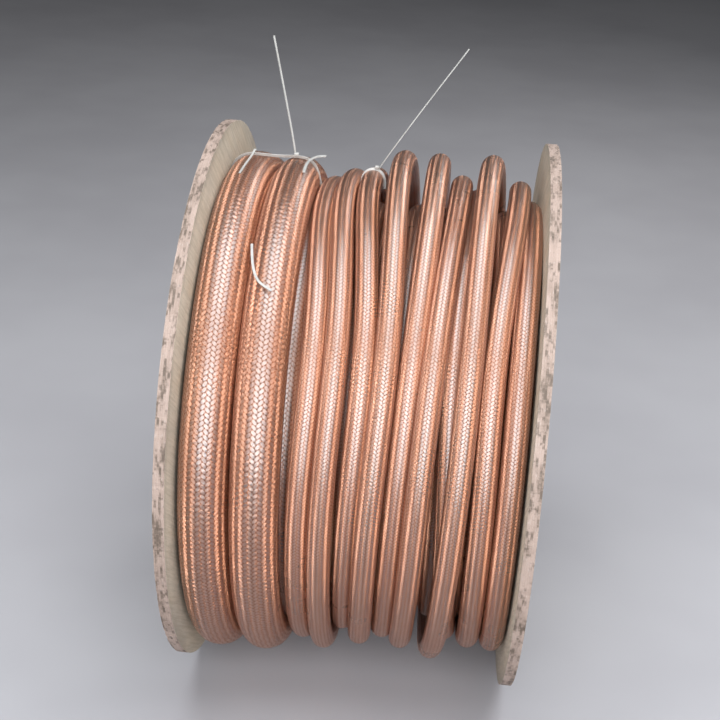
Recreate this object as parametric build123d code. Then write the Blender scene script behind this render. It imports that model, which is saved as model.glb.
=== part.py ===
from build123d import *
from math import cos, pi, radians, sin
import os

# Braided corrugated metal hose in two sizes, wound side by side on a plywood reel.
#
# Millimetres. X runs along the reel's axis and Z is up. The origin lies on the floor under
# the middle of the reel, which stands on the rims of its two flanges.

# Reel
flange_diameter = 800
flange_thickness = 15
barrel_diameter = 410
barrel_wall = 12
arbor_hole_diameter = 70

# Drive-pin hole, one in each flange
pin_hole_diameter = 38
pin_hole_offset = 146  # from the reel's axis
pattern_turn = 62  # degrees from level to the drive-pin hole

# Tie rods that clamp the flanges on the barrel
rod_count = 4
rod_diameter = 12
rod_to_barrel = 9  # clear of the barrel's inner wall
rod_end = 18  # beyond the flange, for a washer and a nut
rod_hole_clearance = 0.75  # all round

# Large hose, at the reel's -X end. Each radius is over one outermost turn, from the flange in.
large_hose_diameter = 66
large_turn_radii = (372, 372)
large_sides = 12  # flats that stand in for the round section of a turn
large_hang = 16  # how far the slack outer turns hang below the reel's axis

# Small hose, in the rest of the reel. Some of its turns ride up on their neighbours.
small_hose_diameter = 32
small_turn_radii = (347, 360, 347, 364, 358, 354, 346, 361, 349, 338)
small_sides = 8
small_hang = 5

# Nylon ties, each drawn over its turns, with its long tail left standing up
strap_width = 5
strap_thickness = 1.5
strap_wrap = 50  # degrees that each end follows its turn down
head_length = 9
head_width = 8
head_height = 7
tie_lean = 8  # degrees from upright, towards the back
seat_gap = 0.3
large_tie_head = -130  # X of the head
large_tail_tip = (-171, 526)  # X, and distance from the reel's axis
small_tie_turn = 3  # the turn that the small tie holds
small_tail_tip = (103, 527)

axis_height = flange_diameter / 2
large_width = large_hose_diameter * len(large_turn_radii)
traverse = large_width + small_hose_diameter * len(small_turn_radii)
flange_inner = traverse / 2
flange_outer = flange_inner + flange_thickness
hose_border = -flange_inner + large_width
rod_circle_radius = barrel_diameter / 2 - barrel_wall - rod_to_barrel - rod_diameter / 2


def disc(radius, x_start, length, y=0, z=0):
    """A round bar along X, starting at x_start."""
    return extrude(Plane.YZ.offset(x_start) * Pos(y, z) * Circle(radius), length)


def around_axis(radius, degrees):
    """The Y and Z of a point at this radius from the reel's axis."""
    return radius * cos(radians(degrees)), radius * sin(radians(degrees))


def rod_places():
    """The Y and Z of each tie rod. The drive-pin hole lies midway between two of them."""
    step = 360 / rod_count
    first = pattern_turn - step / 2
    return [around_axis(rod_circle_radius, first + step * k) for k in range(rod_count)]


def raised(shape, hang=0):
    """Lift a piece modelled round X to the reel's axis, or below it if it hangs slack."""
    return Pos(0, 0, axis_height - hang) * shape


def flange(x_start):
    """A plywood disc with its arbor hole, drive-pin hole and tie-rod holes."""
    plate = disc(flange_diameter / 2, x_start, flange_thickness)
    plate -= disc(arbor_hole_diameter / 2, x_start, flange_thickness)
    pin_y, pin_z = around_axis(pin_hole_offset, pattern_turn)
    plate -= disc(pin_hole_diameter / 2, x_start, flange_thickness, pin_y, pin_z)
    for y, z in rod_places():
        plate -= disc(rod_diameter / 2 + rod_hole_clearance, x_start, flange_thickness, y, z)
    return raised(plate)


def barrel():
    """The tube that the hose is wound on, clamped between the flanges."""
    tube = disc(barrel_diameter / 2, -flange_inner, traverse)
    tube -= disc(barrel_diameter / 2 - barrel_wall, -flange_inner, traverse)
    return raised(tube)


def tie_rods():
    """Rods through both flanges, inside the barrel."""
    half_length = flange_outer + rod_end
    rods = [disc(rod_diameter / 2, -half_length, 2 * half_length, y, z) for y, z in rod_places()]
    return raised(Compound(rods))


def turn_points(x, radius, hose_diameter, sides):
    """The outer half of a turn's section, from its left groove to its right one."""
    corner = hose_diameter / 2 / cos(pi / sides)
    middle = radius - hose_diameter / 2
    steps = [pi / sides * (2 * k + 1) for k in range(sides // 2)]
    return [(x - corner * cos(step), middle + corner * sin(step)) for step in steps]


def wound_hose(x_start, hose_diameter, radii, sides, hang):
    """All turns of one hose as a turned solid, with its outermost turns side by side.

    Two turns meet in one groove, at the depth of the lower turn. The coil fits the barrel,
    and its outer turns hang slack.
    """
    outline = []
    x = x_start
    for radius in radii:
        points = turn_points(x + hose_diameter / 2, radius, hose_diameter, sides)
        if outline:
            groove = min(outline.pop()[1], points[0][1])
            points[0] = (x, groove)
        outline += points
        x += hose_diameter
    profile = make_face(Polyline((x_start, 0), *outline, (x, 0), close=True))
    coil = raised(revolve(Plane.XZ * profile, Axis.X), hang)
    return coil - raised(disc(barrel_diameter / 2, x_start, x - x_start))


def large_hose():
    return wound_hose(
        -flange_inner, large_hose_diameter, large_turn_radii, large_sides, large_hang
    )


def small_hose():
    return wound_hose(
        hose_border, small_hose_diameter, small_turn_radii, small_sides, small_hang
    )


def cable_tie(left, right, radius, hose_diameter, sides, hang, head_x, tail_tip):
    """A flat strap over the turns from X left to X right, its head, and its straight tail."""
    middle = radius - hose_diameter / 2
    bend = hose_diameter / 2 / cos(pi / sides) + seat_gap + strap_thickness / 2
    crest = middle + bend
    runs = [CenterArc((left, middle), bend, 90, strap_wrap)]
    if left < right:
        runs.append(Line((left, crest), (right, crest)))
    runs.append(CenterArc((right, middle), bend, 90 - strap_wrap, strap_wrap))
    runs.append(Line((head_x, crest), (tail_tip[0], tail_tip[1] + hang)))
    strap = Sketch() + [trace(run, strap_thickness) for run in runs]
    head = Pos(head_x, crest + head_height / 2) * Rectangle(head_length, head_height)
    tie = extrude(Plane.XZ * strap, strap_width / 2, both=True)
    tie += extrude(Plane.XZ * head, head_width / 2, both=True)
    return raised(Rot(-tie_lean, 0, 0) * tie, hang)


def cable_ties():
    """One tie round both large turns and one round a small turn."""
    large = cable_tie(
        -flange_inner + large_hose_diameter / 2,
        hose_border - large_hose_diameter / 2,
        max(large_turn_radii),
        large_hose_diameter,
        large_sides,
        large_hang,
        large_tie_head,
        large_tail_tip,
    )
    turn_x = hose_border + small_hose_diameter * (small_tie_turn - 0.5)
    small = cable_tie(
        turn_x,
        turn_x,
        small_turn_radii[small_tie_turn - 1],
        small_hose_diameter,
        small_sides,
        small_hang,
        turn_x,
        small_tail_tip,
    )
    return Compound([large, small])


parts = {
    "flange_left": flange(-flange_outer),
    "flange_right": flange(flange_inner),
    "barrel": barrel(),
    "tie_rods": tie_rods(),
    "large_hose": large_hose(),
    "small_hose": small_hose(),
    "cable_ties": cable_ties(),
}

os.makedirs("parts", exist_ok=True)
for name, shape in parts.items():
    export_step(shape, f"parts/{name}.step")
    print(name, round(shape.volume / 1000), "cm3", shape.bounding_box())
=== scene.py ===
# %% [markdown]
# # A plywood reel wound with braided copper-coloured hose
# The reel stands on the rims of its two flanges. Two turns of a large hose lie at its left end
# and ten turns of a small hose fill the rest. The CAD model is loaded first and stays fixed,
# because every new piece is placed by its measurements.

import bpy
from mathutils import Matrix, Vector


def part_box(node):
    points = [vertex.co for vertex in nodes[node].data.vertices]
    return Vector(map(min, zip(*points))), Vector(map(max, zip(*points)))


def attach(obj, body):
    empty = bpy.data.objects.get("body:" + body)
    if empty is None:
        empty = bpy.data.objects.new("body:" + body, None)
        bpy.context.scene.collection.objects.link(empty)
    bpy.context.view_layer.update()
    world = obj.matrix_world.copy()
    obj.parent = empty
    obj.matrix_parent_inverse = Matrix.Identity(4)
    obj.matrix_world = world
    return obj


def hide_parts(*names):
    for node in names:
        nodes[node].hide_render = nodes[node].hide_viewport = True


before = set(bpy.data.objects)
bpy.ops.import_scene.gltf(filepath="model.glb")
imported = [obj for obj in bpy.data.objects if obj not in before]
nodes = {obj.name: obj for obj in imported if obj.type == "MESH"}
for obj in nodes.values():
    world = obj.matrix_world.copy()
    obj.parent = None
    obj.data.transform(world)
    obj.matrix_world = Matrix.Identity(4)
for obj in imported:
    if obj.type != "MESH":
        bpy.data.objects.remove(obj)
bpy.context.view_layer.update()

# %% [markdown]
# ## Tools and units
# Blender counts in metres. Places that were measured on the reel are easier to read in
# millimetres, so they are written that way and multiplied by MM. The reel's axle lies one flange
# radius above the floor and runs along X, and round pieces are turned to lie along it.

# %% Tools and units
import math

import bpy
from mathutils import Matrix, Vector, noise

MM = 0.001
REEL_RADIUS = 0.4
AXLE = Vector((0, 0, REEL_RADIUS))
ALONG_X = (0, math.pi / 2, 0)
print("nodes", sorted(nodes))

# %% [markdown]
# ## Camera
# The picture is taken from above and a little to the right of the reel, with the camera rolled
# by two degrees. The place and the roll are kept. A longer lens, aimed a little higher and
# further right, fills the frame with the reel without changing its perspective.

# %% Camera
bpy.ops.object.camera_add(location=(0.11661, -1.83387, 1.36128))
camera = bpy.context.object
camera.name = "camera"
camera.data.sensor_width = 36
camera.data.lens = 68.5
forward = Vector((-0.0958952, 0.8674601, -0.4881773))
right = Vector((0.9912080, 0.1281362, 0.0329819))
up = Vector((-0.0911637, 0.4807224, 0.8721210))
shift_right, shift_up = 0.0345, 0.0545
aim = (forward + right * shift_right + up * shift_up).normalized()
side = aim.cross(up).normalized()
upright = side.cross(aim)
turned = Matrix((side, upright, -aim)).transposed()
camera.matrix_world = Matrix.Translation(camera.location) @ turned.to_4x4()
bpy.context.scene.camera = camera
print("camera looks down by", round(math.degrees(math.asin(-aim.z)), 1), "degrees")

# %% [markdown]
# ## Working habits
# Operators act on everything that is selected, so each piece starts with nothing selected. The
# new object then gets its name. Its place is applied, which moves it into the mesh and leaves
# the object at the origin, as the CAD nodes are.

# %% Select, name, place and join
def nothing_selected():
    bpy.ops.object.select_all(action="DESELECT")


def only(piece):
    nothing_selected()
    piece.select_set(True)
    bpy.context.view_layer.objects.active = piece


def named(name):
    """Name the object that the last operator made, and its mesh."""
    piece = bpy.context.object
    piece.name = name
    piece.data.name = name
    return piece


def placed(piece):
    """Move an object's place into its mesh."""
    only(piece)
    bpy.ops.object.transform_apply(location=True, rotation=True, scale=True)
    return piece


def joined(pieces, name):
    nothing_selected()
    for piece in pieces:
        piece.select_set(True)
    bpy.context.view_layer.objects.active = pieces[0]
    bpy.ops.object.join()
    return named(name)


# %% [markdown]
# ## From modifiers to a finished piece
# Modifiers keep a shape simple while it is built. Once they are applied, open ends are closed and
# all faces are turned outwards, because light and collision tools need a closed skin. A finished
# piece gets its material and says which body it rides on and which CAD nodes it replaces.

# %% Apply, close and finish
def apply_modifiers(piece):
    only(piece)
    for modifier in list(piece.modifiers):
        bpy.ops.object.modifier_apply(modifier=modifier.name)


def faces_outwards():
    """Turn all faces of the mesh in edit mode outwards, and leave edit mode."""
    bpy.ops.mesh.select_all(action="SELECT")
    bpy.ops.mesh.normals_make_consistent(inside=False)
    bpy.ops.object.mode_set(mode="OBJECT")


def closed(piece):
    """Close open ends and turn all faces outwards."""
    only(piece)
    bpy.ops.object.mode_set(mode="EDIT")
    bpy.ops.mesh.select_all(action="SELECT")
    bpy.ops.mesh.remove_doubles(threshold=0.00001)
    bpy.ops.mesh.select_all(action="DESELECT")
    bpy.ops.mesh.select_non_manifold()
    bpy.ops.mesh.fill_holes(sides=0)
    faces_outwards()


def finished(piece, material, slot, *replaced):
    piece.data.materials.clear()
    piece.data.materials.append(material)
    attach(piece, "root")
    if replaced:
        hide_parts(*replaced)
    triangles = sum(len(face.vertices) - 2 for face in piece.data.polygons)
    print(piece.name, triangles, "triangles")


# %% [markdown]
# ## Writing a material as sums
# A material is a graph of nodes. It could be wired up node by node, but a pattern like a braid
# would then be hard to read. Wrapping a socket in a small class lets the graph be written as
# ordinary arithmetic.

# %% Sockets that can be added and multiplied
class Signal:
    def __init__(self, tree, socket):
        self.tree = tree
        self.socket = socket

    def __add__(self, other):
        return maths("ADD", self, other)

    def __radd__(self, other):
        return maths("ADD", other, self)

    def __sub__(self, other):
        return maths("SUBTRACT", self, other)

    def __rsub__(self, other):
        return maths("SUBTRACT", other, self)

    def __mul__(self, other):
        return maths("MULTIPLY", self, other)

    def __truediv__(self, other):
        return maths("DIVIDE", self, other)

    def __pow__(self, other):
        return maths("POWER", self, other)

    def __gt__(self, other):
        return maths("GREATER_THAN", self, other)


def feed(tree, socket, value):
    """Link a signal to a socket, or set the socket to a plain value."""
    if isinstance(value, Signal):
        tree.links.new(value.socket, socket)
    elif hasattr(socket.default_value, "__len__") and len(value) < len(socket.default_value):
        socket.default_value = (*value, 1)
    else:
        socket.default_value = value


def node(tree, kind, settings, inputs, output=0):
    """Add a node: its settings first, then its sockets' values or links."""
    made = tree.nodes.new(kind)
    for key, value in settings.items():
        setattr(made, key, value)
    for key, value in inputs.items():
        feed(tree, made.inputs[key], value)
    return Signal(tree, made.outputs[output])


def maths(operation, *values):
    """A Math node on signals and plain numbers."""
    tree = next(value.tree for value in values if isinstance(value, Signal))
    return node(tree, "ShaderNodeMath", {"operation": operation}, dict(enumerate(values)))


# %% [markdown]
# ### Common sums
# Every finish here is made of the same few steps: take the place on the surface, lay noise over
# it, sharpen the noise into patches, and mix two colours by it. The place is the object's own
# coordinates, which don't change with the view, or a UV map where the pattern follows the piece.

# %% Common sums
def smooth(value, low, high):
    """0 below low, 1 above high, smooth between."""
    settings = {"interpolation_type": "SMOOTHSTEP"}
    inputs = {"Value": value, "From Min": low, "From Max": high, "To Min": 0.0, "To Max": 1.0}
    return node(value.tree, "ShaderNodeMapRange", settings, inputs)


def mixed(factor, first, second):
    """A colour between two. The Mix node's colour sockets have only their numbers."""
    inputs = {0: factor, 6: first, 7: second}
    return node(factor.tree, "ShaderNodeMix", {"data_type": "RGBA"}, inputs, 2)


def mottled(where, scale, detail=3.0, roughness=0.6):
    inputs = {"Vector": where, "Scale": scale, "Detail": detail, "Roughness": roughness}
    return node(where.tree, "ShaderNodeTexNoise", {}, inputs)


def stretched(where, location=(0, 0, 0), rotation=(0, 0, 0), scale=(1, 1, 1)):
    inputs = {"Vector": where, "Location": location, "Rotation": rotation, "Scale": scale}
    return node(where.tree, "ShaderNodeMapping", {"vector_type": "POINT"}, inputs)


def coordinates(tree, kind="Object"):
    return node(tree, "ShaderNodeTexCoord", {}, {}, kind)


def parted(where):
    """The three numbers of a vector."""
    made = where.tree.nodes.new("ShaderNodeSeparateXYZ")
    feed(where.tree, made.inputs[0], where)
    return [Signal(where.tree, output) for output in made.outputs]


def vector(x, y, z):
    return node(x.tree, "ShaderNodeCombineXYZ", {}, {0: x, 1: y, 2: z})


def bumped(height, distance):
    inputs = {"Height": height, "Distance": distance, "Strength": 1.0}
    return node(height.tree, "ShaderNodeBump", {}, inputs)


# %% [markdown]
# ### One shader for all
# The Principled shader covers metal, wood and plastic, so a new material keeps it and only feeds
# its sockets. They are named in lower case here, as arguments are.

# %% New materials
def new_material(name):
    material = bpy.data.materials.new(name)
    material.use_nodes = True
    tree = material.node_tree
    return material, tree, tree.nodes["Principled BSDF"]


def wire_up(tree, shader, **inputs):
    for key, value in inputs.items():
        name = key.replace("_", " ").title().replace("Ior", "IOR")
        feed(tree, shader.inputs[name], value)


# %% [markdown]
# ## The braid
# A machine braids flat carriers of fine wire round the corrugated tube, half of them climbing to
# the left and half to the right, each over two and under two. Modelled as mesh, this relief would
# take millions of faces, so it is a bump. The hose's UV map gives the distance along the hose in
# metres and the part of the way round it, so the braid follows every turn.

# %% The weave of carriers and wires
def weave(along, around, carriers, lead, wires):
    """The height of the uppermost carrier, and the ripple of its wires.

    carriers go round each way, and lead is the length of hose in which one passes the next.
    """
    first = around * carriers + along / lead
    second = around * carriers - along / lead
    first_number = maths("FLOOR", first)
    second_number = maths("FLOOR", second)
    first_place = first - first_number - 0.5
    second_place = second - second_number - 0.5
    first_wave = maths("COSINE", (first_number + second) * (math.pi / 2))
    second_wave = maths("COSINE", (second_number + first) * (math.pi / 2))
    swing, rounding = 0.5, 1.2
    first_height = first_wave * swing - first_place * first_place * rounding
    second_height = 0 - second_wave * swing - second_place * second_place * rounding
    top = maths("MAXIMUM", first_height, second_height)
    on_first = first_height > second_height
    place = on_first * first_place + (1 - on_first) * second_place
    ripple = maths("COSINE", place * (2 * math.pi * wires))
    return top, ripple


# %% [markdown]
# ### Its metal
# The wires are bare, warm bronze, duller in patches. Painted shade darkens the gaps between the
# carriers and the grooves between the wires, so their crowns look bright. Clean drawn wire also
# throws a white glint. A coat over the metal gives that glint.
# It is strongest on the wires, so the weave shows in it.

# %% Braid material
def braid_material(name, carriers, lead, wires, corrugation, crowned):
    material, tree, shader = new_material(name)
    along, around, _ = parted(coordinates(tree, "UV"))
    top, ripple = weave(along, around, carriers, lead, wires)
    ribs = maths("COSINE", along * (2 * math.pi / corrugation))
    relief = top * crowned + ripple * 0.11 + ribs * 0.08
    on_carrier = smooth(top, -0.15, 0.2)
    on_wire = smooth(ripple, -0.8, 0.6)
    dull = smooth(mottled(coordinates(tree), 9.0), 0.35, 0.7)
    bronze = mixed(dull, (0.55, 0.29, 0.19), (0.48, 0.235, 0.15))
    # painted shade: the gaps between the carriers are painted dark brown
    bronze = mixed(on_carrier, (0.22, 0.07, 0.03), bronze)
    # painted shade: the grooves between the wires are painted darker
    bronze = mixed(on_wire, (0.38, 0.15, 0.075), bronze)
    wire_up(
        tree,
        shader,
        base_color=bronze,
        metallic=1.0,
        roughness=0.27 + dull * 0.08 + (1 - on_carrier) * 0.15,
        coat_weight=smooth(top, -0.15, 0.42) * (0.55 + on_wire * 0.45),
        coat_roughness=0.38,
        coat_ior=2.35,
        normal=bumped(relief, lead * 0.24),
    )
    return material


large_braid = braid_material(
    "large_braid", carriers=32, lead=0.0065, wires=7, corrugation=0.0084, crowned=0.75
)
small_braid = braid_material(
    "small_braid", carriers=20, lead=0.0050, wires=6, corrugation=0.0046, crowned=0.55
)
print("made", large_braid.name, "and", small_braid.name)

# %% [markdown]
# ## Hose turns
# A hose on a reel is one tube that climbs from turn to turn. Its middle line is a curve through
# stations along its turns: an angle in degrees, the X and the outer radius in millimetres. Zero
# degrees is level with the axle at the front, and ninety is the top. A cubic between two stations
# keeps the slope of both, so the hose bends nowhere sharply.

# %% Stations to points
def eased(start, end, start_slope, end_slope, t):
    """A cubic from start to end that begins and ends with these slopes."""
    rise = end - start
    square = 3 * rise - 2 * start_slope - end_slope
    cube = start_slope + end_slope - 2 * rise
    return start + t * start_slope + t * t * square + t * t * t * cube


def smooth_stations(stations, step=15):
    """A point each few degrees through the stations."""
    angles = [station[0] for station in stations]
    slopes = []
    for index in range(len(stations)):
        before = stations[max(index - 1, 0)]
        after = stations[min(index + 1, len(stations) - 1)]
        span = after[0] - before[0]
        slopes.append([(after[part] - before[part]) / span for part in (1, 2)])
    points = []
    count = round((angles[-1] - angles[0]) / step)
    for number in range(count + 1):
        angle = angles[0] + (angles[-1] - angles[0]) * number / count
        index = max(i for i in range(len(angles) - 1) if angles[i] <= angle + 0.0001)
        start, end = stations[index], stations[index + 1]
        span = end[0] - start[0]
        t = (angle - start[0]) / span
        x, radius = (
            eased(start[part], end[part], before * span, after * span, t)
            for part, before, after in zip((1, 2), slopes[index], slopes[index + 1])
        )
        points.append((angle, x, radius))
    return points


# %% [markdown]
# ### The line of a hose
# A hose that is wound by hand wanders a little, sideways as well as up and down. Smooth noise
# moves each point of its line, and the noise is the same in every run.

# %% Points to a curve
def hose_line(name, stations, hose_radius, wander):
    """A curve along the middle of the hose, and its length."""
    data = bpy.data.curves.new(name, "CURVE")
    data.dimensions = "3D"
    data.resolution_u = 8
    data.use_stretch = True
    data.use_deform_bounds = True
    points = smooth_stations(stations)
    spline = data.splines.new("BEZIER")
    spline.bezier_points.add(len(points) - 1)
    for place, (angle, x, radius) in zip(spline.bezier_points, points):
        turn = math.radians(angle)
        drift = noise.noise(Vector((angle * 0.021, x * 0.013, 1.7))) * wander
        lift = noise.noise(Vector((angle * 0.019, x * 0.011, 8.3))) * wander
        middle = radius - hose_radius + lift
        y = -middle * math.cos(turn)
        z = middle * math.sin(turn)
        place.co = Vector((x + drift, y, z)) * MM + AXLE
        place.handle_left_type = "AUTO"
        place.handle_right_type = "AUTO"
    line = bpy.data.objects.new(name, data)
    bpy.context.collection.objects.link(line)
    return line, spline.calc_length()


# %% [markdown]
# ### A short ring of hose
# Only one short ring is modelled: a circle, extruded step by step and scaled a little at each
# step where the corrugated tube shows. Its UV map holds metres along the hose and the part of the
# way round, and a face on the seam counts past a full turn instead of back to zero.

# %% One ring
def hose_ring(name, radius, pitch, sides, swell):
    """One short length of hose along X. swell lists the radius factors of its rings."""
    nothing_selected()
    bpy.ops.mesh.primitive_circle_add(
        vertices=sides, radius=radius * swell[0], rotation=ALONG_X, calc_uvs=True
    )
    ring = placed(named(name))
    bpy.ops.object.mode_set(mode="EDIT")
    bpy.ops.mesh.select_all(action="SELECT")
    step = pitch / (len(swell) - 1)
    for before, after in zip(swell, swell[1:]):
        bpy.ops.mesh.extrude_region_move(TRANSFORM_OT_translate={"value": (step, 0, 0)})
        bpy.ops.transform.resize(value=(1, after / before, after / before))
    bpy.ops.object.mode_set(mode="OBJECT")
    layer = ring.data.uv_layers.active
    layer.name = "hose"
    for face in ring.data.polygons:
        centre = math.atan2(face.center.z, face.center.y)
        for loop in face.loop_indices:
            corner = ring.data.vertices[ring.data.loops[loop].vertex_index].co
            angle = math.atan2(corner.z, corner.y)
            if angle - centre > math.pi:
                angle -= 2 * math.pi
            if centre - angle > math.pi:
                angle += 2 * math.pi
            layer.data[loop].uv = (corner.x, angle / (2 * math.pi))
    return ring


# %% [markdown]
# ### Rings along the line
# A round section could be swept along the curve, but then the corrugation would be lost. An array
# repeats the ring end to end, with its UV map counting on, and a curve modifier bends the row
# along the line.

# %% A whole hose
def hose_along(name, stations, radius, pitch, sides, swell, wander):
    line, length = hose_line(name + "_line", stations, radius / MM, wander)
    ring = hose_ring(name, radius, pitch, sides, swell)
    array = ring.modifiers.new("rings", "ARRAY")
    array.count = round(length / pitch)
    array.use_relative_offset = False
    array.use_constant_offset = True
    array.constant_offset_displace = (pitch, 0, 0)
    array.use_merge_vertices = True
    array.merge_threshold = 0.00002
    array.offset_u = pitch
    bend = ring.modifiers.new("bend", "CURVE")
    bend.object = line
    bend.deform_axis = "POS_X"
    apply_modifiers(ring)
    closed(ring)
    bpy.ops.object.shade_smooth()
    bpy.data.objects.remove(line)
    print(name, "is", round(length, 2), "m long")
    return ring


# %% [markdown]
# ### The large hose
# Its two turns lean a little to the right as they go down, and they hang slack, so they stand out
# further at the bottom than at the top. The picture doesn't show the back. There, as a guess, the
# hose crosses from the first turn to the second, and its ends go under. The corrugated tube inside
# shows as shallow rings.

# %% Large hose turns
large_stations = (
    (185, -192, 314), (215, -192, 345), (250, -191, 378), (270, -188, 388),
    (360, -189, 372), (400, -190, 362), (450, -193, 356), (475, -190, 358),
    (540, -156, 372), (605, -124, 387), (630, -120, 388),
    (720, -122, 372), (760, -124, 362), (810, -128, 356), (830, -127, 354),
    (860, -124, 334), (890, -122, 308),
)
large_turns = hose_along(
    "large_turns",
    large_stations,
    radius=0.033,
    pitch=0.0084,
    sides=48,
    swell=(1.0, 0.992, 0.984, 1.0),
    wander=1.2,
)
finished(large_turns, large_braid, "bronze", "large_hose")

# %% [markdown]
# ### The small hose
# Each turn is pushed aside by its neighbours, so no two lie at the same height. The bottom, the
# front, the shoulder and the top of each turn are read from the picture. The back is a guess: the
# hose moves on to its next turn there. The eighth turn rides over the seventh, low at the back
# and again low at the front, and one more station lifts it at the back.

# %% Small hose turns
low_x = (-66, -38, -16, 9, 42, 71, 142, 114, 174, 209)
low_radius = (360, 377, 343, 361, 350, 360, 347, 377, 352, 353)
level_x = (-65, -34, 0, 28, 60, 88, 128, 137, 172, 206)
level_radius = (352, 358, 348, 362, 350, 364, 336, 366, 352, 352)
shoulder_x = (-60, -30, 4, 34, 68, 97, 121, 142, 172, 206)
shoulder_radius = (348, 355, 350, 360, 354, 360, 338, 362, 350, 346)
top_x = (-80, -51, -18, 24, 75, 109, 130, 148, 192, 211)
top_radius = (327, 340, 348, 376, 376, 346, 322, 381, 341, 318)
back_x = (-59, -33, -4, 33, 73, 110, 144, 176, 204, 211)
back_radius = (348, 364, 350, 358, 356, 344, 350, 352, 350, 312)
hidden_start = (180, -80, 306)
crossing = (360 * 6 + 585, 127, 378)

small_stations = [hidden_start, crossing]
for turn in range(10):
    begin = 360 * turn
    small_stations += [
        (begin + 270, low_x[turn], low_radius[turn]),
        (begin + 360, level_x[turn], level_radius[turn]),
        (begin + 400, shoulder_x[turn], shoulder_radius[turn]),
        (begin + 450, top_x[turn], top_radius[turn]),
        (begin + 540, back_x[turn], back_radius[turn]),
    ]
small_stations.sort()
small_turns = hose_along(
    "small_turns",
    small_stations,
    radius=0.016,
    pitch=0.012,
    sides=36,
    swell=(1.0, 1.0),
    wander=1.5,
)
finished(small_turns, small_braid, "bronze", "small_hose")

# %% [markdown]
# ### The layers beneath
# Between the outer turns the next layer shows. It could be wound like the outer one, but only
# slivers of it can be seen, so it is made of plain rings. They hang slack as the outer turns do.

# %% Inner layers
def inner_layer(name, node_name, material, places, radius, hose_radius, hang):
    """Rings of hose at these X places as one piece. All lengths are in mm."""
    rings = []
    for x in places:
        nothing_selected()
        bpy.ops.mesh.primitive_torus_add(
            location=(x * MM, 0, AXLE.z - hang * MM),
            rotation=ALONG_X,
            major_radius=(radius - hose_radius) * MM,
            minor_radius=hose_radius * MM,
            major_segments=144,
            minor_segments=20,
        )
        ring = placed(bpy.context.object)
        layer = ring.data.uv_layers.active
        for loop in layer.data:
            loop.uv = (loop.uv[0] * 2 * math.pi * radius * MM, loop.uv[1])
        layer.name = "hose"
        bpy.ops.object.shade_smooth()
        rings.append(ring)
    finished(joined(rings, name), material, "bronze", node_name)


small_places = [-78 + 32 * turn for turn in range(10)]
inner_layer(
    "small_under", "small_hose", small_braid, small_places, radius=306, hose_radius=16, hang=9
)
large_places = (-193, -127, -96)
inner_layer(
    "large_under", "large_hose", large_braid, large_places, radius=322, hose_radius=32, hang=12
)

# %% [markdown]
# ### The core of the coil
# Deeper layers can't be seen at all. One plain sleeve, which fits the barrel, stands for them and
# keeps light from passing through the coil. It is made as a tube is drawn: a circle, extruded and
# scaled inwards to a ring, and the ring extruded along the axle.

# %% Core sleeve
def tube(name, radius, hole, start, length, vertices):
    """A tube along X with square ends."""
    nothing_selected()
    bpy.ops.mesh.primitive_circle_add(
        vertices=vertices, radius=radius, location=start, rotation=ALONG_X
    )
    piece = placed(named(name))
    bpy.ops.object.mode_set(mode="EDIT")
    bpy.ops.mesh.select_all(action="SELECT")
    bpy.ops.mesh.extrude_region_move()
    bpy.ops.transform.resize(value=(1, hole / radius, hole / radius), center_override=start)
    bpy.ops.mesh.select_all(action="SELECT")
    bpy.ops.mesh.extrude_region_move(TRANSFORM_OT_translate={"value": (length, 0, 0)})
    faces_outwards()
    return piece


core = tube(
    "hose_core", radius=0.280, hole=0.2052, start=(-0.225, 0, AXLE.z), length=0.45, vertices=128
)
finished(core, small_braid, "bronze", "small_hose")

# %% [markdown]
# ## Plywood
# The flanges are thin plywood discs. Their faces are pale and grey with a slanting grain, darker
# flecks and stains, and dirt towards the rim. A picture of plywood could be laid on, but noise
# that is stretched along the grain looks the same from near and far and has no seams.

# %% Faces of the plywood
def face_finish(where, radius):
    """The colour of a flange's face, with the grain and the flecks that raise it."""
    slant = stretched(where, rotation=(math.radians(38), 0, 0))
    grain = mottled(stretched(slant, scale=(1, 2.2, 46)), 6.0, 5.0, 0.65)
    broad = mottled(stretched(slant, scale=(1, 1.2, 8)), 3.0, 3.0)
    stain = mottled(where, 5.0, 4.0)
    fleck = mottled(stretched(slant, scale=(1, 12, 160)), 6.0, 2.0)
    near_rim = smooth(radius, REEL_RADIUS - 0.020, REEL_RADIUS - 0.001)
    colour = mixed(smooth(grain, 0.35, 0.68), (0.50, 0.45, 0.365), (0.38, 0.34, 0.27))
    colour = mixed(smooth(broad, 0.4, 0.75) * 0.5, colour, (0.44, 0.35, 0.235))
    colour = mixed(smooth(stain, 0.5, 0.72) * 0.45, colour, (0.30, 0.28, 0.24))
    colour = mixed(smooth(fleck, 0.62, 0.72) * 0.5, colour, (0.21, 0.165, 0.115))
    colour = mixed(near_rim * smooth(stain, 0.35, 0.6) * 0.5, colour, (0.25, 0.22, 0.18))
    return colour, grain, fleck


# %% [markdown]
# ### The sawn rim
# A rim shows the plies on edge. Each ply shows end grain or long grain by its place on the rim,
# so dark and light dashes run along it, with splinters and a seam of glue between two plies. The
# dashes count in plies across the rim and in metres along it.

# %% Rims of the plywood
PLY = 0.003


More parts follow.
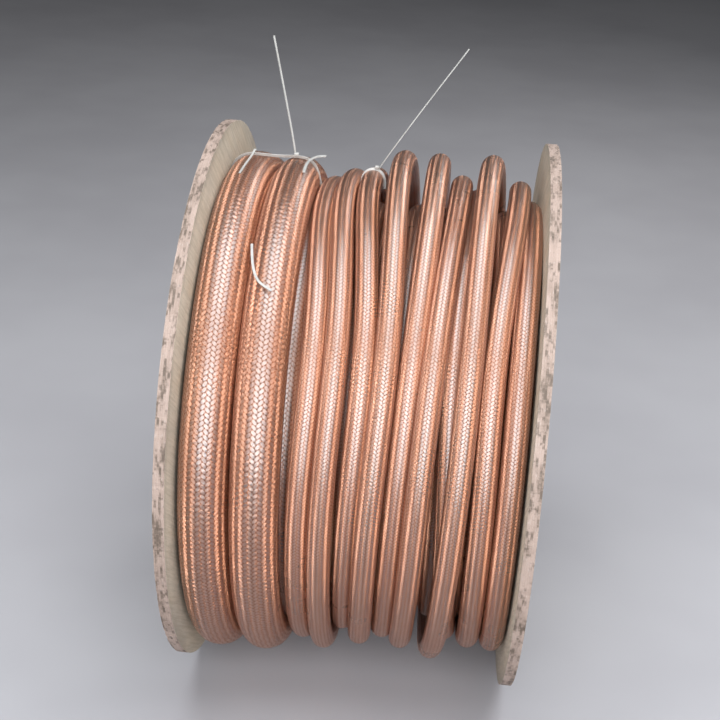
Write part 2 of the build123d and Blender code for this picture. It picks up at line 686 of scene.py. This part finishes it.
def rim_finish(x, along):
    """The colour of a flange's rim and its relief."""
    ply = (x + 0.5) / PLY
    number = maths("FLOOR", ply)
    seam = maths("PINGPONG", ply, 0.5)
    dashes = mottled(vector(number * 7.3, along * 48, 0.0), 1.0)
    blots = mottled(vector(x * 70, along * 16, 3.0), 1.0)
    splinters = mottled(vector(x * 500, along * 120, 7.0), 1.0, 3.0, 0.7)
    dark = smooth(dashes + blots * 0.6 + splinters * 0.3, 0.92, 1.12)
    colour = mixed(smooth(blots, 0.35, 0.65), (0.27, 0.20, 0.168), (0.195, 0.14, 0.113))
    colour = mixed(smooth(splinters, 0.55, 0.75), colour, (0.30, 0.25, 0.228))
    colour = mixed(dark, colour, (0.085, 0.06, 0.045))
    colour = mixed((1 - smooth(seam, 0.0, 0.10)) * 0.35, colour, (0.16, 0.11, 0.07))
    return colour, splinters * 2 - dark * 1.5 + blots


# %% [markdown]
# ### Faces and rims in one material
# Two materials would need a line between them on the mesh. The direction in which the surface
# faces tells the rim from the faces just as well, because a face looks along the axle.

# %% Plywood material
def plywood_material():
    material, tree, shader = new_material("plywood")
    where = coordinates(tree)
    x, y, z = parted(stretched(where, location=(0, 0, -REEL_RADIUS)))
    face_colour, grain, fleck = face_finish(where, (y * y + z * z) ** 0.5)
    rim_colour, rim_relief = rim_finish(x, maths("ARCTAN2", y, z) * REEL_RADIUS)
    facing = maths("ABSOLUTE", parted(coordinates(tree, "Normal"))[0])
    rim = 1 - smooth(facing, 0.5, 0.8)
    wire_up(
        tree,
        shader,
        base_color=mixed(rim, face_colour, rim_colour),
        roughness=0.62 + grain * 0.2,
        normal=bumped(grain * 0.4 + fleck * 0.3 + rim * rim_relief, 0.0006),
    )
    return material


plywood = plywood_material()
print("made", plywood.name)

# %% [markdown]
# ## Worn flanges
# Each flange is a disc, drilled right through for the arbor, the drive pin and the tie rods. The
# holes are cut as a drill cuts them, by taking a cylinder away, and a bevel breaks the sharp
# edges afterwards.

# %% Cylinders, cuts and bevels
def cylinder(name, radius, length, centre, vertices):
    """A cylinder along X."""
    nothing_selected()
    bpy.ops.mesh.primitive_cylinder_add(
        vertices=vertices, radius=radius, depth=length, rotation=ALONG_X, location=centre
    )
    return placed(named(name))


def drilled(piece, bits):
    for bit in bits:
        cut = piece.modifiers.new("hole", "BOOLEAN")
        cut.operation = "DIFFERENCE"
        cut.object = bit
        cut.solver = "EXACT"


def bevelled(piece, width, segments, sharp=30):
    """Break the edges that turn by more than the sharp angle, and apply all modifiers."""
    bevel = piece.modifiers.new("edge", "BEVEL")
    bevel.width = width
    bevel.segments = segments
    bevel.limit_method = "ANGLE"
    bevel.angle_limit = math.radians(sharp)
    apply_modifiers(piece)


# %% [markdown]
# ### Their rims and holes
# The rims have been rolled over concrete, so short stretches are chipped away by a millimetre.
# Noise along the rim moves its vertices inwards, but not where the reel stands on the floor. The
# angles of the holes count from level at the back, as in the CAD model, and the drive pin's hole
# lies midway between two rods.

# %% Flanges
FLANGE_THICKNESS = 0.015
ARBOR_RADIUS = 0.035
PIN_RADIUS = 0.019
PIN_CIRCLE = 0.146
ROD_HOLE_RADIUS = 0.00675
ROD_CIRCLE = 0.178
DEEPEST_CHIP = 0.0014
RIM_DEPTH = 0.005
STANDING_HEIGHT = 0.004
rod_angles = [math.radians(17 + 90 * number) for number in range(4)]
pin_angle = math.radians(62)


def drill(radius, distance, angle):
    """A cylinder through both flanges, this far from the axle."""
    y = distance * math.cos(angle)
    z = AXLE.z + distance * math.sin(angle)
    return cylinder("drill", radius, 0.6, (0, y, z), vertices=64)


def chipped(piece):
    for corner in piece.data.vertices:
        arm = Vector((0, corner.co.y, corner.co.z - AXLE.z))
        if arm.length < REEL_RADIUS - RIM_DEPTH or corner.co.z < STANDING_HEIGHT:
            continue
        turn = math.atan2(arm.z, arm.y)
        worn = noise.noise(Vector((corner.co.x * 90, turn * 26, 4.1)))
        depth = min(max(worn - 0.22, 0) * 0.006, DEEPEST_CHIP)
        corner.co -= arm.normalized() * depth


def make_flange(name, x, drills):
    centre = (x, 0, AXLE.z)
    flange = cylinder(name + "_board", REEL_RADIUS, FLANGE_THICKNESS, centre, vertices=560)
    drilled(flange, drills)
    bevelled(flange, width=0.0009, segments=1, sharp=50)
    chipped(flange)
    bpy.ops.object.shade_smooth_by_angle(angle=math.radians(8))
    finished(flange, plywood, "plywood", name)


drills = [drill(ARBOR_RADIUS, 0, 0), drill(PIN_RADIUS, PIN_CIRCLE, pin_angle)]
drills += [drill(ROD_HOLE_RADIUS, ROD_CIRCLE, angle) for angle in rod_angles]
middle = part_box("flange_right")[0][0] + FLANGE_THICKNESS / 2
make_flange("flange_left", -middle, drills)
make_flange("flange_right", middle, drills)
for bit in drills:
    bpy.data.objects.remove(bit)

# %% [markdown]
# ## Barrel and rods
# The barrel is a wound cardboard tube, seen only through the holes. Four threaded rods clamp the
# flanges on it. The CAD shapes of both stay. The rods get their thread as bump, because modelled
# ridges would cost many faces in a place that is hardly seen.

# %% Cardboard and steel
def board_material():
    material, tree, shader = new_material("board")
    where = coordinates(tree)
    fibre = mottled(stretched(where, scale=(30, 90, 90)), 6.0, 4.0)
    blotch = mottled(where, 12.0)
    colour = mixed(smooth(fibre, 0.3, 0.7), (0.36, 0.23, 0.13), (0.27, 0.165, 0.09))
    colour = mixed(smooth(blotch, 0.5, 0.75) * 0.5, colour, (0.20, 0.12, 0.07))
    wire_up(tree, shader, base_color=colour, roughness=0.8, normal=bumped(fibre, 0.0004))
    return material


def steel_material(name, clean, worn, roughness, thread_pitch=None):
    material, tree, shader = new_material(name)
    where = coordinates(tree)
    spots = mottled(where, 260.0, 4.0)
    cloud = mottled(where, 45.0)
    height = spots * 0.3
    if thread_pitch:
        height = maths("PINGPONG", parted(where)[0] / thread_pitch, 0.5) * 2.5
    wire_up(
        tree,
        shader,
        base_color=mixed(smooth(spots + cloud * 0.5, 0.62, 0.95), clean, worn),
        metallic=1.0,
        roughness=roughness + cloud * 0.2,
        normal=bumped(height, 0.0005),
    )
    return material


rod_steel = steel_material("rod_steel", (0.62, 0.60, 0.57), (0.42, 0.36, 0.29), 0.25, 0.00175)
nut_steel = steel_material("nut_steel", (0.70, 0.68, 0.64), (0.48, 0.42, 0.34), 0.22)
# painted reflection: the washers' steel is coloured far darker than bare steel, for the dark
# surroundings it mirrors
washer_steel = steel_material("washer_steel", (0.16, 0.155, 0.15), (0.25, 0.21, 0.17), 0.35)
for node_name, material in (("barrel", board_material()), ("tie_rods", rod_steel)):
    nodes[node_name].data.materials.clear()
    nodes[node_name].data.materials.append(material)
    print(node_name, "is now of", material.name)

# %% [markdown]
# ## Washers and nuts
# Each end of a rod has a wide washer, painted dark as a painted reflection of dark surroundings,
# and a hexagon nut. One of each is modelled at the origin. Linked copies would be lighter, but
# each piece is one mesh here, so the copies are joined. Each is turned a little further than the
# last, as hand-tightened nuts are.

# %% Copies on the rod ends
TURN_STEP = 0.37
outer_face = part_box("flange_right")[1][0]
print("outer face", round(outer_face, 4), "m from the reel's middle")


def rod_ends():
    """Which end of the reel, as -1 or 1, and the rod's Y and Z."""
    for end in (-1, 1):
        for angle in rod_angles:
            yield end, ROD_CIRCLE * math.cos(angle), AXLE.z + ROD_CIRCLE * math.sin(angle)


def repeated(pattern, name, offset, thickness):
    """A copy of the pattern on each rod end, joined as one piece."""
    copies = []
    for number, (end, y, z) in enumerate(rod_ends()):
        copy = pattern.copy()
        copy.data = pattern.data.copy()
        bpy.context.collection.objects.link(copy)
        x = outer_face + offset if end > 0 else -outer_face - offset - thickness
        copy.rotation_euler = (TURN_STEP * number, 0, 0)
        copy.location = (x, y, z)
        copies.append(placed(copy))
    bpy.data.objects.remove(pattern)
    piece = joined(copies, name)
    bpy.ops.object.shade_smooth_by_angle(angle=math.radians(35))
    return piece


# %% [markdown]
# ### The two patterns
# The washer is a short tube and the nut is a six-sided cylinder with its thread's hole drilled
# out. Bevels catch the light on their edges.

# %% Washers and nuts
washer_thickness = 0.003
nut_height = 0.010

washer = tube(
    "washer", radius=0.026, hole=0.0065, start=(0, 0, 0), length=washer_thickness, vertices=64
)
bevelled(washer, width=0.0006, segments=2)
washers = repeated(washer, "washers", 0.0, washer_thickness)
finished(washers, washer_steel, "steel")

nut_middle = (nut_height / 2, 0, 0)
nut = cylinder("nut", radius=0.01097, length=nut_height, centre=nut_middle, vertices=6)
nut_drill = cylinder("drill", radius=0.0061, length=0.03, centre=(0, 0, 0), vertices=40)
drilled(nut, [nut_drill])
bevelled(nut, width=0.0009, segments=3, sharp=50)
bpy.data.objects.remove(nut_drill)
nuts = repeated(nut, "nuts", washer_thickness, nut_height)
finished(nuts, nut_steel, "steel")

# %% [markdown]
# ## Nylon ties
# White cable ties hold the turns, with long straight tails that were never trimmed. A tie is a
# flat band. It could be a strip of mesh, but as a curve with a flat section it is shaped by a few
# points, and the curve turns into a mesh at the end.

# %% Nylon and a flat band
def nylon_material():
    material, tree, shader = new_material("nylon")
    cloud = mottled(coordinates(tree), 60.0)
    wire_up(
        tree,
        shader,
        base_color=mixed(smooth(cloud, 0.4, 0.7), (0.31, 0.302, 0.287), (0.26, 0.252, 0.237)),
        roughness=0.36 + cloud * 0.1,
        normal=bumped(cloud, 0.0002),
    )
    return material


def curve_object(name, dimensions):
    data = bpy.data.curves.new(name, "CURVE")
    data.dimensions = dimensions
    made = bpy.data.objects.new(name, data)
    bpy.context.collection.objects.link(made)
    return made, data


def band(name, points, width, thickness):
    """A flat strap along the points. Its width and thickness are in mm."""
    section, section_data = curve_object("strap_section", "2D")
    outline = section_data.splines.new("POLY")
    outline.points.add(3)
    outline.use_cyclic_u = True
    for place, (a, b) in zip(outline.points, ((-1, -1), (1, -1), (1, 1), (-1, 1))):
        place.co = (a * width / 2 * MM, b * thickness / 2 * MM, 0, 1)
    strap, data = curve_object(name, "3D")
    data.resolution_u = 6
    data.twist_mode = "MINIMUM"
    data.bevel_mode = "OBJECT"
    data.bevel_object = section
    data.use_fill_caps = True
    spline = data.splines.new("NURBS")
    spline.points.add(len(points) - 1)
    for place, point in zip(spline.points, points):
        place.co = (*point, 1)
    spline.order_u = 3
    spline.use_endpoint_u = True
    only(strap)
    bpy.ops.object.convert(target="MESH")
    strap = bpy.context.object
    bpy.data.objects.remove(section)
    closed(strap)
    return strap


# %% [markdown]
# ### Where the ties run
# The points of a tie are given as a turn's stations are: the X and the distance from the axle in
# millimetres, and the angle from the front level. A tie lies just behind the top, so its angle is
# left out unless the strap leaves that plane.

# %% Paths of the ties
TIE_LEAN = 8


def on_lean(x, radius, angle=90 + TIE_LEAN):
    turn = math.radians(angle)
    return Vector((x, -radius * math.cos(turn), radius * math.sin(turn))) * MM + AXLE


def path(*places):
    return [on_lean(*place) for place in places]


large_loop = path(
    (-224, 300), (-225.5, 322), (-222, 344), (-208, 356), (-190, 358.5),
    (-160, 357), (-130, 359), (-112, 357), (-98, 343), (-93, 318),
)
large_tail = path((-132, 358), (-134, 372), (-150, 440), (-171, 526))
side_tail = path(
    (-111, 356, 87), (-112.5, 357, 92), (-108, 358.5, 97), (-98, 362, 98), (-88, 363, 97.4)
)
short_tail = path((-189, 367, 96), (-191, 361, 94), (-195, 358, 88), (-197, 358, 83))
front_tail = path(
    (-158, 344, 61), (-152.5, 352, 55.5), (-143, 359, 51), (-133, 363.5, 49), (-119, 366, 47.8)
)
small_loop = path(
    (-35, 322), (-34.5, 336), (-29, 346), (-18, 350.5), (-7, 346), (-1.5, 336), (-1, 322)
)
small_tail = path((-12, 349), (-6, 360), (45, 440), (103, 527))
print("tails reach", round(large_tail[-1].z, 3), "and", round(small_tail[-1].z, 3), "m up")

# %% [markdown]
# ### Straps and heads
# The strap comes out of a small box, its head, which grips it. A box with broken edges is enough
# at this size. The long tails are narrower than the straps, because the picture shows them thin.

# %% Ties
def tie_head(x, radius, size):
    """The head of a tie. Its size is in mm."""
    nothing_selected()
    bpy.ops.mesh.primitive_cube_add(
        size=1, location=on_lean(x, radius), rotation=(math.radians(TIE_LEAN), 0, 0)
    )
    head = named("tie_head")
    head.scale = Vector(size) * MM
    placed(head)
    bevelled(head, width=0.001, segments=3)
    return head


straps = [
    band("large_strap", large_loop, 4.2, 1.2),
    band("large_tail", large_tail, 2.6, 1.1),
    band("side_tail", side_tail, 4.2, 1.2),
    band("short_tail", short_tail, 3.2, 1.1),
    band("front_tail", front_tail, 3.4, 1.1),
    band("small_strap", small_loop, 4.0, 1.2),
    band("small_tail", small_tail, 2.4, 1.1),
    tie_head(-131, 361.5, (7, 6, 5)),
    tie_head(-14, 352, (6, 5, 4.5)),
]
ties = joined(straps, "nylon_ties")
bpy.ops.object.shade_smooth_by_angle(angle=math.radians(35))
finished(ties, nylon_material(), "nylon", "cable_ties")

# %% [markdown]
# ## Floor
# A pale matt floor catches the reel's shadow, with a soft cloudiness so that it isn't quite even.
# It is darker under the key lamp, which would otherwise burn it white in views from behind.

# %% Floor
def floor_material():
    material, tree, shader = new_material("floor")
    where = coordinates(tree)
    cloud = mottled(where, 1.5)
    colour = mixed(smooth(cloud, 0.3, 0.7), (0.32, 0.311, 0.325), (0.29, 0.281, 0.295))
    _, y, _ = parted(where)
    under_key = smooth(0 - y, 1.0, 2.3)
    colour = mixed(under_key, colour, (0.15, 0.146, 0.153))
    wire_up(tree, shader, base_color=colour, roughness=0.9, specular_ior_level=0.1)
    return material


nothing_selected()
bpy.ops.mesh.primitive_plane_add(size=80, location=(0, 0, 0))
floor = placed(named("floor"))
floor.data.materials.append(floor_material())
print("floor", floor.dimensions.x, "m wide")

# %% [markdown]
# ## Lights and surroundings
# Large area lamps make soft shadows and long highlights on the metal. The key stands in front and
# reaches low, so that the white band on each turn runs far down. A second one hangs above. A weak
# fill lamp lifts the left side, and one from behind draws the upper edges. The surroundings are an
# even, dim grey.

# %% Lights and surroundings
COOL = (0.93, 0.97, 1.0)


def soft_lamp(name, location, aim_height, size, power, colour):
    """A rectangular lamp aimed at a point above the reel's middle."""
    bpy.ops.object.light_add(type="AREA", location=location)
    lamp = bpy.context.object
    lamp.name = name
    lamp.data.shape = "RECTANGLE"
    lamp.data.size, lamp.data.size_y = size
    lamp.data.energy = power
    lamp.data.color = colour
    direction = Vector((0, 0, aim_height)) - Vector(location)
    lamp.rotation_euler = direction.to_track_quat("-Z", "Y").to_euler()
    print(name, "lamp of", power, "watts")


soft_lamp("key", (0.2, -2.7, 1.4), 0.4, (3.0, 2.6), 185, COOL)
soft_lamp("ceiling", (0.1, -0.5, 3.0), 0.4, (2.6, 2.4), 140, COOL)
soft_lamp("fill", (-2.6, -1.2, 1.6), 0.4, (1.6, 1.6), 8, (0.95, 0.97, 1.0))
soft_lamp("rear", (1.6, 2.4, 2.4), 0.5, (1.8, 0.8), 35, (1.0, 1.0, 1.0))

world = bpy.data.worlds.new("studio")
bpy.context.scene.world = world
world.use_nodes = True
background = world.node_tree.nodes["Background"]
background.inputs["Color"].default_value = (0.60, 0.61, 0.62, 1)
background.inputs["Strength"].default_value = 0.15
bpy.context.scene.view_settings.view_transform = "Standard"
